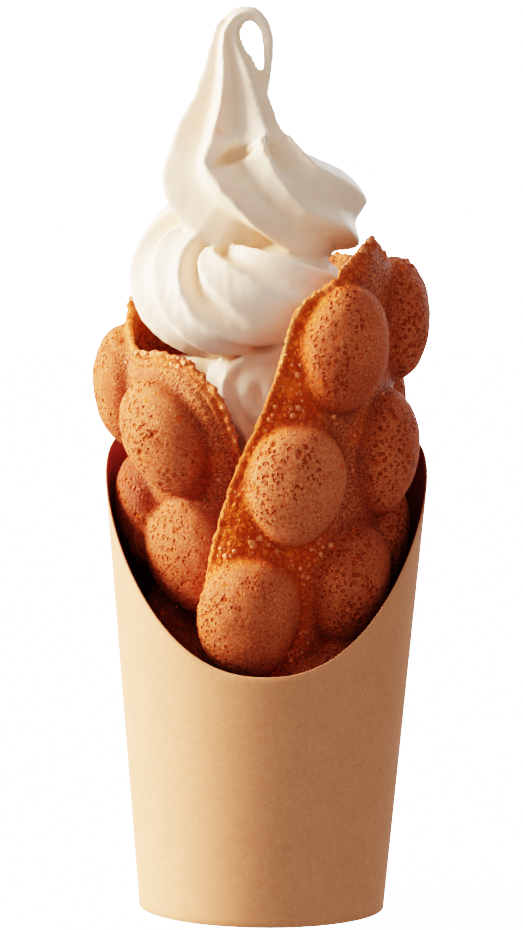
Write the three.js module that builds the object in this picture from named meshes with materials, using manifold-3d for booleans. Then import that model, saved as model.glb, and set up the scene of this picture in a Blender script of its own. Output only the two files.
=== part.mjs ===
// A bubble waffle rolled to a cone and filled with swirled soft serve, standing in a paper scoop cup.
// Millimetres, +Z up. The origin is the middle of the whole's outline on the floor, and -Y is the
// cup's low front.
// Every piece is shaped round the cup's own upright axis, and the group then stands that axis at its place.
// Around it a "turn" in degrees is 0 at the front, 90 at the left (-X), 180 at the back and 270 at the right.

import * as THREE from 'three';
import { mergeVertices } from 'three/addons/utils/BufferGeometryUtils.js';
import Module from 'manifold-3d';

const wasm = await Module();
wasm.setup();

// ---------- Driving dimensions ----------

const cupAxis = { x: 1.8, y: -1.8 };

const gap = 0.3;

const cup = {
  footRadius: 35.2,
  slope: 0.088,
  wall: 0.6,
  frontHeight: 71.5,
  backHeight: 134.5,
  scoopTurn: 120,
  scoopPower: 1.15,
  hemHeight: 6,
  baseHeight: 7,
  columns: 48,
};

const sheet = {
  thickness: 3.6,
  rimBulge: 1.2,
  rows: 9,
  columns: 30,
  firstTurn: -6,
  lastTurn: 398,
  lean: -2.6,
  leanHeights: [90, 170],
  tuck: 12,
  tuckTurns: [95, 20],
  tuckHeights: [150, 105],
  flare: 4,
  flareTurns: [345, 390],
  coneStops: [[8, 6], [30, 12], [60, 19], [95, 27.5], [113, 31], [130, 33.8], [150, 36.3], [170, 37],
    [195, 37]],
};

// The round sheet's outline: turn and height along its upper edge, then along its lower edge.
const upperEdge = [[-6, 90], [2, 113], [11, 133], [15, 146], [23, 153.5], [32, 158.5], [45, 160.5], [72, 161],
  [97, 173], [140, 183], [200, 187], [285, 187], [303, 193], [328, 181], [345, 172], [354, 153], [375, 124],
  [398, 86]];
const lowerEdge = [[-6, 84], [35, 45], [150, 14], [205, 10], [260, 14], [350, 45], [385, 66], [398, 80]];

const tip = {
  low: 8,
  lowRadius: 5.5,
  waist: 30,
  waistRadius: 11,
  shoulder: 42,
  shoulderRadius: 13,
  top: 50,
  segments: 16,
};

const bubble = { halfLength: 18.4, halfWidth: 13.8, bulge: 12.3, root: 0.8, around: 12, rings: 4 };

// Each column of bubbles runs up the sheet: its turn at the column height, how it drifts with height,
// its lowest bubble, the pitch from one to the next, how many there are and how far they lean.
const columnHeight = 100;
const bubbleColumns = [
  { turn: 359.5, drift: -0.61, low: 86.5, pitch: 37.9, count: 3, lean: 9 },
  { turn: 302.5, drift: -0.46, low: 58, pitch: 37.2, count: 4, lean: 4 },
  { turn: 268, drift: -0.72, low: 69, pitch: 38.5, count: 3, lean: 5 },
  { turn: 212, drift: -0.4, low: 81, pitch: 37, count: 3, lean: 0 },
  { turn: 155, drift: -0.2, low: 84, pitch: 37, count: 3, lean: 0 },
  { turn: 99.5, drift: -0.05, low: 77, pitch: 36.2, count: 3, lean: 0 },
  { turn: 51, drift: 0, low: 66, pitch: 35.4, count: 3, lean: -8 },
];

const rope = {
  points: 7,
  depth: 0.26,
  soften: 0.1,
  peakDepth: 0.6,
  peakLengths: [185, 215],
  sides: 21,
  turnStep: 5,
  footSteps: 6,
  peakSteps: 8,
  smoothing: 3,
  ringStep: 5,
  twistStep: 2,
  twistLengths: [88, 122],
  ringsPerPiece: 10,
  tightest: 0.85,
};

// The foot's stops: x, y, z and the rope's radius, up from the bottom and into the coil.
const footStops = [[4, -6, 122, 8.5], [1.5, -8, 132, 9], [-3, -9.5, 141, 9.3], [-8, -10, 149, 9.4],
  [-6.5, -9.5, 154, 9], [1, -9, 156, 9], [8, -6.5, 158, 10.5], [14, 0, 163, 12.5],
  [15.5, 0, 168.5, 13.5]];

// The coil's stops: turn, distance from the coil's axis, height and the rope's radius.
const coil = {
  centreX: -2.8,
  stops: [[285, 17, 171, 13.5], [315, 18, 175, 14.2], [360, 18.5, 176.5, 15], [400, 19.5, 174.5, 17.6],
    [440, 19.5, 180, 19.5], [485, 16.5, 191, 17], [540, 13, 195.5, 14.5], [630, 16.8, 198.4, 14.8],
    [675, 14, 201, 15.5]],
};

// The peak's stops: x, y, z and the rope's radius, up to the tip and down again as a thin thread.
const peakStops = [[-5.5, -8, 204.5, 23], [-10.2, -4, 211.5, 23.8], [-12, -2, 220.5, 17.9],
  [-11.8, -0.5, 229.5, 13.2], [-12.1, 0, 238.5, 9.4], [-13, 0, 246, 5.8], [-12.2, 0, 251.5, 4.1],
  [-8.5, 0, 255.2, 3], [-4.2, 0, 254.8, 2.4], [-1.4, 0, 250.5, 2], [-0.9, 0, 245, 1.8],
  [-1, 0, 239.5, 1.5], [-1.4, 0, 234, 1.1]];

// A shorter length of rope tucked in behind the foot: x, y, z and its radius.
const tuckStops = [[3, -8, 112, 5], [2.5, -9, 128, 7], [0.5, -10, 144, 7.8], [-0.8, -9.5, 154, 7.4],
  [-1.5, -6, 161, 6]];

// How far the star section is turned in the rope: length along the rope, then degrees.
const phaseStops = [[0, -93], [25, -93], [50, -110], [80, -152], [87, -157], [93, -171], [97, -189],
  [100, -208], [103, -230], [106, -257], [109, -290], [112, -318], [117, -350], [121, -368],
  [127, -398], [136, -425], [143, -438], [149, -433], [157, -431], [168, -429], [181, -428],
  [187, -438], [190, -443], [193, -449], [196, -459], [200, -469], [203, -478], [207, -486],
  [218, -496], [226, -502], [232, -503], [300, -505]];

// How deep each groove of the star section is: length along the rope, then the share of full depth.
const grooveStops = [
  [[55, 1], [72, 0.15], [85, 0.15], [98, 0.3], [103, 1.1], [111, 1.4], [126, 1]],
  [[55, 1], [71, 0.1], [103, 0.1], [113, 0.3], [126, 1]],
  [[70, 1], [81, 0.5], [96, 1], [126, 1]],
  [[155, 1], [172, 0.2], [190, 0.2], [206, 1]],
  [[0, 1], [300, 1]],
  [[80, 1], [96, 0.5], [111, 0.8], [131, 1]],
  [[71, 1], [99, 0.9], [107, 0.35], [121, 0.3], [131, 1]],
];

// The same two for the short length: not twisted, and every groove at full depth.
const untwisted = [[0, 0], [300, 0]];
const fullDepth = [[0, 1], [300, 1]];

const filling = {
  low: 46,
  high: 158,
  clearance: 2.8,
  taper: 8,
  taperFrom: 125,
  hollow: 20,
  hollowHeights: [106, 130],
  hollowTurns: [75, 35],
  rows: 7,
  columns: 18,
  closingTurns: [320, 352],
};

const core = {
  segments: 12,
  profile: [[0, 150], [5, 158], [8, 168], [13, 176], [14, 190], [8, 204], [0, 209]],
};

// ---------- Curves and helpers ----------

function radians(degrees) {
  return degrees * Math.PI / 180;
}

function ease(value) {
  const t = Math.min(Math.max(value, 0), 1);
  return t * t * (3 - 2 * t);
}

// How far a value has gone, smoothly from 0 to 1, between the two ends of a range.
function easeWithin([from, to], value) {
  return ease((value - from) / (to - from));
}

// The smooth value at x of a curve through stops, each of which starts with its x.
function valueAt(stops, x, column = 1) {
  const last = stops.length - 1;
  const clamped = Math.min(Math.max(x, stops[0][0]), stops[last][0]);
  let i = 0;
  while (i < last - 1 && stops[i + 1][0] < clamped) {
    i += 1;
  }
  const slopeAt = (k) => {
    const before = stops[Math.max(k - 1, 0)];
    const after = stops[Math.min(k + 1, last)];
    return (after[column] - before[column]) / (after[0] - before[0]);
  };
  const span = stops[i + 1][0] - stops[i][0];
  const t = (clamped - stops[i][0]) / span;
  const rise = t * t * (3 - 2 * t);
  const value = stops[i][column] * (1 - rise) + stops[i + 1][column] * rise;
  return value + span * t * (1 - t) * (slopeAt(i) * (1 - t) - slopeAt(i + 1) * t);
}

function cleanGeometry(geometry) {
  geometry.deleteAttribute('normal');
  geometry.deleteAttribute('uv');
  const merged = mergeVertices(geometry, 1e-4);
  const kept = [];
  const index = merged.index.array;
  for (let i = 0; i < index.length; i += 3) {
    const [a, b, c] = [index[i], index[i + 1], index[i + 2]];
    if (a !== b && b !== c && c !== a) {
      kept.push(a, b, c);
    }
  }
  merged.setIndex(kept);
  return merged;
}

function solidOf(geometry) {
  const clean = cleanGeometry(geometry);
  const vertProperties = new Float32Array(clean.attributes.position.array);
  const triVerts = new Uint32Array(clean.index.array);
  return new wasm.Manifold(new wasm.Mesh({ numProp: 3, vertProperties, triVerts }));
}

// The largest connected body of a triangle list, without the specks that a cut can leave.
function largestBody(faces, pointCount) {
  const leader = Array.from({ length: pointCount }, (_, i) => i);
  const find = (i) => {
    let top = i;
    while (leader[top] !== top) {
      leader[top] = leader[leader[top]];
      top = leader[top];
    }
    return top;
  };
  for (let i = 0; i < faces.length; i += 3) {
    leader[find(faces[i])] = find(faces[i + 1]);
    leader[find(faces[i + 1])] = find(faces[i + 2]);
  }
  const sizes = new Map();
  faces.forEach((vertex) => sizes.set(find(vertex), (sizes.get(find(vertex)) ?? 0) + 1));
  const [largest] = [...sizes].reduce((best, entry) => (entry[1] > best[1] ? entry : best));
  return faces.filter((_, i) => find(faces[i - i % 3]) === largest);
}

function geometryOf(solid) {
  const { vertProperties, triVerts, numProp } = solid.getMesh();
  const positions = [];
  for (let i = 0; i < vertProperties.length; i += numProp) {
    positions.push(vertProperties[i], vertProperties[i + 1], vertProperties[i + 2]);
  }
  const geometry = new THREE.BufferGeometry();
  geometry.setAttribute('position', new THREE.Float32BufferAttribute(positions, 3));
  geometry.setIndex(largestBody(Array.from(triVerts), positions.length / 3));
  return cleanGeometry(geometry);
}

function geometryFrom(points, faces) {
  const geometry = new THREE.BufferGeometry().setFromPoints(points);
  geometry.setIndex(faces);
  return geometry;
}

function lathe(profile, segments) {
  const points = profile.map(([radius, height]) => new THREE.Vector2(radius, height));
  return new THREE.LatheGeometry(points, segments).rotateX(Math.PI / 2);
}

function namedMesh(name, geometry, color, roughness) {
  geometry.computeVertexNormals();
  const material = new THREE.MeshStandardMaterial({ color, roughness, metalness: 0 });
  const mesh = new THREE.Mesh(geometry, material);
  mesh.name = name;
  return mesh;
}

// ---------- The paper cup ----------

function cupRadius(height) {
  return cup.footRadius + cup.slope * height;
}

function rimHeight(turnFromFront) {
  const share = Math.min(Math.abs(turnFromFront) / cup.scoopTurn, 1) ** cup.scoopPower;
  return cup.frontHeight + (cup.backHeight - cup.frontHeight) * 0.5 * (1 - Math.cos(Math.PI * share));
}

// The wall folds in at the foot and up again, which leaves a channel for the base's skirt.
function cupWall() {
  const channel = cup.wall + 2 * gap;
  const hemOuter = cup.wall + channel;
  const hemInner = hemOuter + cup.wall;
  const profile = [
    [cupRadius(0), 0],
    [cupRadius(0) - hemInner, 0],
    [cupRadius(cup.hemHeight) - hemInner, cup.hemHeight],
    [cupRadius(cup.hemHeight) - hemOuter, cup.hemHeight],
    [cupRadius(cup.wall) - hemOuter, cup.wall],
    [cupRadius(cup.wall) - cup.wall, cup.wall],
    [cupRadius(cup.backHeight) - cup.wall, cup.backHeight],
    [cupRadius(cup.backHeight), cup.backHeight],
    [cupRadius(0), 0],
  ];
  const geometry = cleanGeometry(lathe(profile.reverse(), cup.columns));
  const position = geometry.attributes.position;
  for (let i = 0; i < position.count; i += 1) {
    const point = new THREE.Vector3().fromBufferAttribute(position, i);
    const radius = Math.hypot(point.x, point.y);
    if (point.z > cup.backHeight - gap) {
      const height = rimHeight(THREE.MathUtils.radToDeg(Math.atan2(point.x, -point.y)));
      const trimmed = radius - cup.slope * (cup.backHeight - height);
      position.setXYZ(i, point.x * trimmed / radius, point.y * trimmed / radius, height);
    }
  }
  return geometry;
}

function cupBase() {
  const skirtOuter = cup.wall + gap;
  const skirtInner = skirtOuter + cup.wall;
  const skirtLow = cup.wall + gap;
  const top = cup.baseHeight + cup.wall;
  const profile = [
    [0, top],
    [cupRadius(top) - skirtOuter, top],
    [cupRadius(skirtLow) - skirtOuter, skirtLow],
    [cupRadius(skirtLow) - skirtInner, skirtLow],
    [cupRadius(cup.baseHeight) - skirtInner, cup.baseHeight],
    [0, cup.baseHeight],
  ];
  return cleanGeometry(lathe(profile.reverse(), cup.columns));
}

// ---------- The waffle ----------

function axisX(height) {
  return sheet.lean * easeWithin(sheet.leanHeights, height);
}

// The sheet is a cone whose inner lap (small turns) is tucked in and whose outer lap (past 360) flares.
function sheetRadius(turn, height) {
  const tucked = sheet.tuck * easeWithin(sheet.tuckTurns, turn) * easeWithin(sheet.tuckHeights, height);
  const flared = sheet.flare * easeWithin(sheet.flareTurns, turn);
  return valueAt(sheet.coneStops, height) - tucked + flared;
}

function sheetPoint(turn, height) {
  const radius = sheetRadius(turn, height);
  const angle = radians(turn);
  return new THREE.Vector3(axisX(height) - radius * Math.sin(angle), -radius * Math.cos(angle), height);
}

// The sheet's own directions at a place: outward, along its height, and across it.
function sheetFrame(turn, height) {
  const across = sheetPoint(turn + 0.5, height).sub(sheetPoint(turn - 0.5, height)).normalize();
  const along = sheetPoint(turn, height + 0.5).sub(sheetPoint(turn, height - 0.5)).normalize();
  const outward = new THREE.Vector3().crossVectors(across, along).negate().normalize();
  return { across, along, outward };
}

// The rolled sheet as a closed slab with a rounded rim.
function rolledSheet(extra) {
  const { rows, columns, firstTurn, lastTurn } = sheet;
  const half = sheet.thickness / 2 + extra;
  const width = columns + 1;
  const centres = [];
  const normals = [];
  for (let row = 0; row <= rows; row += 1) {
    for (let column = 0; column <= columns; column += 1) {
      const share = 0.5 - 0.5 * Math.cos(Math.PI * column / columns);
      const turn = THREE.MathUtils.lerp(firstTurn, lastTurn, share);
      const height = THREE.MathUtils.lerp(valueAt(lowerEdge, turn), valueAt(upperEdge, turn), row / rows);
      centres.push(sheetPoint(turn, height));
      normals.push(sheetFrame(turn, height).outward);
    }
  }
  const faces = [];
  const count = centres.length;
  for (let row = 0; row < rows; row += 1) {
    for (let column = 0; column < columns; column += 1) {
      const a = row * width + column;
      const [b, c, d] = [a + 1, a + width + 1, a + width];
      faces.push(a, c, b, a, d, c);
      faces.push(count + a, count + b, count + c, count + a, count + c, count + d);
    }
  }
  const border = [];
  for (let column = 0; column < columns; column += 1) {
    border.push(column);
  }
  for (let row = 0; row < rows; row += 1) {
    border.push(row * width + columns);
  }
  for (let column = columns; column > 0; column -= 1) {
    border.push(rows * width + column);
  }
  for (let row = rows; row > 0; row -= 1) {
    border.push(row * width);
  }
  const rim = border.map((a, i) => {
    const before = centres[border[(i + border.length - 1) % border.length]];
    const after = centres[border[(i + 1) % border.length]];
    const away = after.clone().sub(before).cross(normals[a]).normalize();
    return centres[a].clone().addScaledVector(away, -sheet.rimBulge - extra);
  });
  border.forEach((a, i) => {
    const next = (i + 1) % border.length;
    const b = border[next];
    const [c, d] = [2 * count + i, 2 * count + next];
    faces.push(a, b, d, a, d, c);
    faces.push(c, d, count + b, c, count + b, count + a);
  });
  const outside = centres.map((point, i) => point.clone().addScaledVector(normals[i], half));
  const inside = centres.map((point, i) => point.clone().addScaledVector(normals[i], -half));
  return solidOf(geometryFrom([...outside, ...inside, ...rim], faces));
}

// An egg-shaped bubble, wrapped on the sheet so that its root stays inside the sheet's thickness.
function bubbleSolid(turn, height, lean, extra) {
  const profile = [[0, -bubble.root], [1, -bubble.root]];
  for (let ring = 1; ring <= bubble.rings; ring += 1) {
    const angle = 0.5 * Math.PI * ring / bubble.rings;
    profile.push([Math.cos(angle), Math.sin(angle) * (bubble.bulge + extra)]);
  }
  profile[profile.length - 1][0] = 0;
  const geometry = cleanGeometry(lathe(profile, bubble.around));
  const position = geometry.attributes.position;
  const tilt = new THREE.Vector2();
  for (let i = 0; i < position.count; i += 1) {
    tilt.set(position.getX(i) * (bubble.halfWidth + extra), position.getY(i) * (bubble.halfLength + extra));
    tilt.rotateAround(new THREE.Vector2(), -radians(lean));
    const placeTurn = turn - THREE.MathUtils.radToDeg(tilt.x / sheetRadius(turn, height));
    const placeHeight = height + tilt.y * sheetFrame(turn, height).along.z;
    const place = sheetPoint(placeTurn, placeHeight);
    place.addScaledVector(sheetFrame(placeTurn, placeHeight).outward, position.getZ(i));
    position.setXYZ(i, place.x, place.y, place.z);
  }
  return solidOf(geometry);
}

// The waffle, or with an extra the same shape grown by that much on every side.
function waffle(extra = 0) {
  let solid = rolledSheet(extra);
  const profile = [
    [0, tip.low - extra],
    [tip.lowRadius + extra, tip.low - extra],
    [tip.waistRadius + extra, tip.waist],
    [tip.shoulderRadius + extra, tip.shoulder],
    [0, tip.top + extra],
  ];
  solid = solid.add(solidOf(lathe(profile, tip.segments)));
  for (const column of bubbleColumns) {
    for (let i = 0; i < column.count; i += 1) {
      const height = column.low + i * column.pitch;
      const turn = column.turn + column.drift * (height - columnHeight);
      solid = solid.add(bubbleSolid(turn, height, column.lean, extra));
    }
  }
  return solid;
}

// ---------- The soft serve ----------

function coilPoint(turn) {
  const distance = valueAt(coil.stops, turn, 1);
  const angle = radians(turn);
  return new THREE.Vector3(
    coil.centreX - distance * Math.sin(angle),
    -distance * Math.cos(angle),
    valueAt(coil.stops, turn, 2),
  );
}

// Each value drawn towards its neighbours, some number of times, with both ends kept.
function smoothed(values) {
  let current = values;
  for (let pass = 0; pass < rope.smoothing; pass += 1) {
    const from = current;
    current = from.map((value, i) => ((from[i - 1] ?? value) + 2 * value + (from[i + 1] ?? value)) / 4);
    current[0] = from[0];
    current[from.length - 1] = from[from.length - 1];
  }
  return current;
}

function smoothedPoints(points) {
  const [xs, ys, zs] = ['x', 'y', 'z'].map((axis) => smoothed(points.map((point) => point[axis])));
  return points.map((_, i) => new THREE.Vector3(xs[i], ys[i], zs[i]));
}

// Places along a smooth line through x, y, z and radius stops, with some steps from stop to stop.
function lineThrough(stops, steps) {
  const numbered = stops.map((stop, i) => [i, ...stop]);
  return Array.from({ length: (stops.length - 1) * steps + 1 }, (_, i) => {
    const [x, y, z, radius] = [1, 2, 3, 4].map((column) => valueAt(numbered, i / steps, column));
    return { point: new THREE.Vector3(x, y, z), radius };
  });
}

// The rope's middle line with its radius at each place, from the foot through the coil to the thread.
function ropeLine() {
  const line = lineThrough(footStops, rope.footSteps).slice(0, -1);
  const last = coil.stops[coil.stops.length - 1][0];
  for (let turn = coil.stops[0][0]; turn < last; turn += rope.turnStep) {
    line.push({ point: coilPoint(turn), radius: valueAt(coil.stops, turn, 3) });
  }
  line.push(...lineThrough(peakStops, rope.peakSteps));
  return {
    points: smoothedPoints(line.map(({ point }) => point)),
    radii: smoothed(line.map(({ radius }) => radius)),
  };
}

// The change from the place before to the place after, along a list of points.
function changes(points) {
  const last = points.length - 1;
  return points.map((_, i) => points[Math.min(i + 1, last)].clone().sub(points[Math.max(i - 1, 0)]));
}

// The radius of the star section at one place, in one of its directions.
function starRadius(radius, length, side, grooves) {
  const wave = Math.sin(Math.PI * rope.points * side / rope.sides);
  const groove = grooves[Math.floor(side * rope.points / rope.sides)];
  const deeper = 1 + rope.peakDepth * easeWithin(rope.peakLengths, length);
  const depth = rope.depth * valueAt(groove, length) * deeper;
  return radius * (1 - depth * Math.sqrt(wave * wave + rope.soften * rope.soften));
}

// The star section that the nozzle gives, at every place along the rope, closer together where it is
// twisted most. On the inner side of a bend the section is held back so that it does not fold over.
function ropeRings({ points, radii }, firstSide, phases, grooves) {
  const steps = changes(points);
  const tangents = steps.map((step) => step.clone().normalize());
  const bends = changes(tangents).map((turned, i) => turned.divideScalar(steps[i].length()));
  const curvatures = smoothedPoints(bends);
  const rings = [];
  let side = firstSide;
  let length = 0;
  points.forEach((point, i) => {
    length += i > 0 ? point.distanceTo(points[i - 1]) : 0;
    side = side.clone().addScaledVector(tangents[i], -side.dot(tangents[i])).normalize();
    const other = new THREE.Vector3().crossVectors(tangents[i], side);
    const phase = radians(valueAt(phases, length));
    const ring = [];
    for (let k = 0; k < rope.sides; k += 1) {
      const around = 2 * Math.PI * k / rope.sides;
      const direction = side.clone().multiplyScalar(Math.cos(around - phase));
      direction.addScaledVector(other, Math.sin(around - phase));
      const full = starRadius(radii[i], length, k, grooves);
      const bend = Math.max(0, direction.dot(curvatures[i])) * full / rope.tightest;
      ring.push(point.clone().addScaledVector(direction, full / (1 + bend ** 4) ** 0.25));
    }
    const twisted = length > rope.twistLengths[0] && length < rope.twistLengths[1];
    if (i % (twisted ? rope.twistStep : rope.ringStep) === 0 || i === points.length - 1) {
      rings.push(ring);
    }
  });
  return rings;
}

// A closed length of the rope through some of its sections.
function ropePiece(rings) {
  const { sides } = rope;
  const points = rings.flat();
  const faces = [];
  for (let ring = 0; ring < rings.length - 1; ring += 1) {
    for (let i = 0; i < sides; i += 1) {
      const a = ring * sides + i;
      const b = ring * sides + (i + 1) % sides;
      faces.push(a, b, b + sides, a, b + sides, a + sides);
    }
  }
  for (const [ring, start] of [[rings[0], 0], [rings[rings.length - 1], (rings.length - 1) * sides]]) {
    const centre = points.length;
    points.push(ring.reduce((sum, point) => sum.add(point), new THREE.Vector3()).divideScalar(sides));
    for (let i = 0; i < sides; i += 1) {
      const pair = [start + i, start + (i + 1) % sides];
      faces.push(centre, ...(start === 0 ? pair.reverse() : pair));
    }
  }
  return solidOf(geometryFrom(points, faces));
}

// What fills the cone under the coil, inside both laps. It draws in towards its top, and most of all
// at the front, where the rope's foot is seen between the laps.
function fillingSolid() {
  const { low, high, rows, columns, taperFrom } = filling;
  const points = [];
  const faces = [];
  for (let row = 0; row <= rows; row += 1) {
    const height = low + (high - low) * row / rows;
    for (let column = 0; column < columns; column += 1) {
      const turn = 360 * column / columns;
      const closing = easeWithin(filling.closingTurns, turn);
      const radius = THREE.MathUtils.lerp(sheetRadius(turn, height), sheetRadius(0, height), closing);
      const front = easeWithin(filling.hollowTurns, Math.abs((turn + 180) % 360 - 180));
      const hollow = filling.hollow * front * easeWithin(filling.hollowHeights, height);
      const taper = filling.taper * easeWithin([taperFrom, high], height);
      const inner = radius - filling.clearance - taper - hollow;
      const angle = radians(turn);
      const x = axisX(height) - inner * Math.sin(angle);
      points.push(new THREE.Vector3(x, -inner * Math.cos(angle), height));
    }
  }
  for (let row = 0; row < rows; row += 1) {
    for (let column = 0; column < columns; column += 1) {
      const a = row * columns + column;
      const b = row * columns + (column + 1) % columns;
      faces.push(a, b + columns, b, a, a + columns, b + columns);
    }
  }
  const bottom = points.length;
  points.push(new THREE.Vector3(axisX(low), 0, low), new THREE.Vector3(axisX(high), 0, high));
  for (let column = 0; column < columns; column += 1) {
    const next = (column + 1) % columns;
    faces.push(bottom, column, next);
    faces.push(bottom + 1, rows * columns + next, rows * columns + column);
  }
  return solidOf(geometryFrom(points, faces));
}

function softServe() {
  const rings = ropeRings(ropeLine(), new THREE.Vector3(0, 0, 1), phaseStops, grooveStops);
  let solid = fillingSolid();
  for (let start = 0; start < rings.length - 1; start += rope.ringsPerPiece) {
    solid = solid.add(ropePiece(rings.slice(start, start + rope.ringsPerPiece + 1)));
  }
  const tuck = lineThrough(tuckStops, rope.footSteps);
  const tuckLine = { points: tuck.map(({ point }) => point), radii: tuck.map(({ radius }) => radius) };
  const even = grooveStops.map(() => fullDepth);
  const tuckRings = ropeRings(tuckLine, new THREE.Vector3(0, -1, 0), untwisted, even);
  solid = solid.add(ropePiece(tuckRings));
  solid = solid.add(solidOf(lathe(core.profile, core.segments).translate(coil.centreX, 0, 0)));
  return solid.subtract(waffle(gap));
}

// ---------- The whole ----------

const object = new THREE.Group();
object.position.set(cupAxis.x, cupAxis.y, 0);
object.add(
  namedMesh('cup_wall', cupWall(), '#c39468', 0.85),
  namedMesh('cup_base', cupBase(), '#b98a5e', 0.85),
  namedMesh('waffle', geometryOf(waffle()), '#b87347', 0.7),
  namedMesh('soft_serve', geometryOf(softServe()), '#f3e8d8', 0.5),
);

export default object;
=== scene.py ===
import math
import bpy
import numpy as np
from mathutils import Matrix, Vector


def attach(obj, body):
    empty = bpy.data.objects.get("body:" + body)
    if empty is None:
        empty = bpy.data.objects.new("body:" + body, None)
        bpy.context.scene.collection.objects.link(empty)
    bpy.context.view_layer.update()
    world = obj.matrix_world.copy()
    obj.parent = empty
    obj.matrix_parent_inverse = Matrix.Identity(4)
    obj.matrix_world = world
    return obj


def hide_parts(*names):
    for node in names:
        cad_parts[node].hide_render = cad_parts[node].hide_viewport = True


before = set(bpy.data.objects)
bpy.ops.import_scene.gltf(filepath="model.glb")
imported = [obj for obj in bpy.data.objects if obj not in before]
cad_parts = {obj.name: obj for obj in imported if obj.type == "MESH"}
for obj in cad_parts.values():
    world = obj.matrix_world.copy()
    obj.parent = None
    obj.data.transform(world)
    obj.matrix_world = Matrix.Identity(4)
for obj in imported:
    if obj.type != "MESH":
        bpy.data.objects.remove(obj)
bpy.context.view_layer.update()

# A bubble waffle rolled round soft serve, in a kraft paper scoop cup.
# Shapes are worked out in millimetres round the cup's own axis, and makeObject puts them in metres.
# A "turn" in degrees is 0 at the low front (-Y), 90 at the left, 180 at the back and 270 at the right.

cupAxis = np.array([1.8, -1.8, 0.0])
millimetre = 0.001


def ease(value):
    t = np.clip(value, 0.0, 1.0)
    return t * t * (3 - 2 * t)


def easeWithin(low, high, value):
    return ease((value - low) / (high - low))


def through(stops, x, column=1):  # the smooth curve through stops, at x
    table = np.array([[stop[0], stop[column]] for stop in stops], float)
    places, heights = table[:, 0], table[:, 1]
    slopes = np.empty(len(table))
    slopes[1:-1] = (heights[2:] - heights[:-2]) / (places[2:] - places[:-2])
    slopes[0] = (heights[1] - heights[0]) / (places[1] - places[0])
    slopes[-1] = (heights[-1] - heights[-2]) / (places[-1] - places[-2])
    x = np.clip(np.asarray(x, float), places[0], places[-1])
    i = np.clip(np.searchsorted(places, x) - 1, 0, len(table) - 2)
    span = places[i + 1] - places[i]
    t = (x - places[i]) / span
    rise = t * t * (3 - 2 * t)
    bend = span * t * (1 - t) * (slopes[i] * (1 - t) - slopes[i + 1] * t)
    return heights[i] * (1 - rise) + heights[i + 1] * rise + bend


def unevenness(points, size, seed, waves=36):  # a smooth random field, about -1 to 1, of features near size
    rng = np.random.default_rng(seed)
    points = np.asarray(points, float).reshape(len(points), -1)
    ways = rng.normal(size=(waves, points.shape[1]))
    ways *= (2 * math.pi / size * rng.uniform(0.5, 1.3, waves) / np.linalg.norm(ways, axis=1))[:, None]
    shifts = rng.uniform(0, 2 * math.pi, waves)
    total = np.zeros(len(points))
    for way, shift in zip(ways, shifts):
        total += np.sin(points @ way + shift)
    return total * math.sqrt(2 / waves) * 0.6


def layered(points, layers):  # several fields laid over each other, from (height, size, seed) rows
    return sum(height * unevenness(points, size, seed) for height, size, seed in layers)


def bell(value, middle, width):  # 1 at the middle and falling off to both sides
    return np.exp(-((value - middle) / width) ** 2)


def unit(vectors):
    return vectors / np.maximum(np.linalg.norm(vectors, axis=-1, keepdims=True), 1e-9)


def newObject(name, data):
    thing = bpy.data.objects.new(name, data)
    bpy.context.scene.collection.objects.link(thing)
    return thing


def makeObject(name, points, faces):
    mesh = bpy.data.meshes.new(name)
    places = (np.asarray(points, float) + cupAxis) * millimetre
    mesh.from_pydata(places.tolist(), [], faces)
    mesh.update()
    return newObject(name, mesh)


def pointsOf(thing):
    places = np.empty(len(thing.data.vertices) * 3)
    thing.data.vertices.foreach_get("co", places)
    return places.reshape(-1, 3) / millimetre - cupAxis


def setPoints(thing, points):
    places = (points + cupAxis) * millimetre
    thing.data.vertices.foreach_set("co", places.ravel())
    thing.data.update()


def normalsOf(thing):
    normals = np.empty(len(thing.data.vertices) * 3)
    thing.data.vertex_normals.foreach_get("vector", normals)
    return normals.reshape(-1, 3)


def edgesOf(thing):
    ends = np.empty(len(thing.data.edges) * 2, np.int32)
    thing.data.edges.foreach_get("vertices", ends)
    return ends.reshape(-1, 2)


def averaged(values, edges):  # each vertex's value from its neighbours' mean
    count = len(values)
    degree = np.bincount(edges.ravel(), minlength=count)
    flat = values.reshape(count, -1)
    total = np.empty(flat.shape)
    for k in range(flat.shape[1]):
        total[:, k] = np.bincount(edges[:, 0], flat[edges[:, 1], k], count)
        total[:, k] += np.bincount(edges[:, 1], flat[edges[:, 0], k], count)
    return (total / np.maximum(degree, 1)[:, None]).reshape(values.shape)


def relaxed(values, edges, times, strength=0.5, shrinkBack=0.0):
    for _ in range(times):
        values = values + strength * (averaged(values, edges) - values)
        if shrinkBack:
            values = values - shrinkBack * (averaged(values, edges) - values)
    return values


def applied(thing):  # the modifiers' result as the object's own plain mesh
    shape = thing.evaluated_get(bpy.context.evaluated_depsgraph_get())
    mesh = bpy.data.meshes.new_from_object(shape)
    thing.modifiers.clear()
    thing.data = mesh
    return thing


def remeshed(thing, size):
    modifier = thing.modifiers.new("remesh", "REMESH")
    modifier.mode = "VOXEL"
    modifier.voxel_size = size * millimetre
    return applied(thing)


def setValues(thing, **fields):  # values for the materials, one for each vertex
    for name, values in fields.items():
        attribute = thing.data.attributes.new(name, "FLOAT", "POINT")
        attribute.data.foreach_set("value", np.asarray(values, np.float32))


def shadeSmooth(thing):
    thing.data.polygons.foreach_set("use_smooth", np.ones(len(thing.data.polygons), bool))
    thing.data.update()


def gridFaces(rows, columns, closed=False, flip=False):
    across = np.arange(columns if closed else columns - 1)
    a = (np.arange(rows - 1)[:, None] * columns + across[None, :]).ravel()
    b = a + 1
    if closed:
        b = (a // columns) * columns + (a + 1) % columns
    faces = np.stack([a, b, b + columns, a + columns], 1)
    return faces[:, ::-1] if flip else faces


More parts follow.
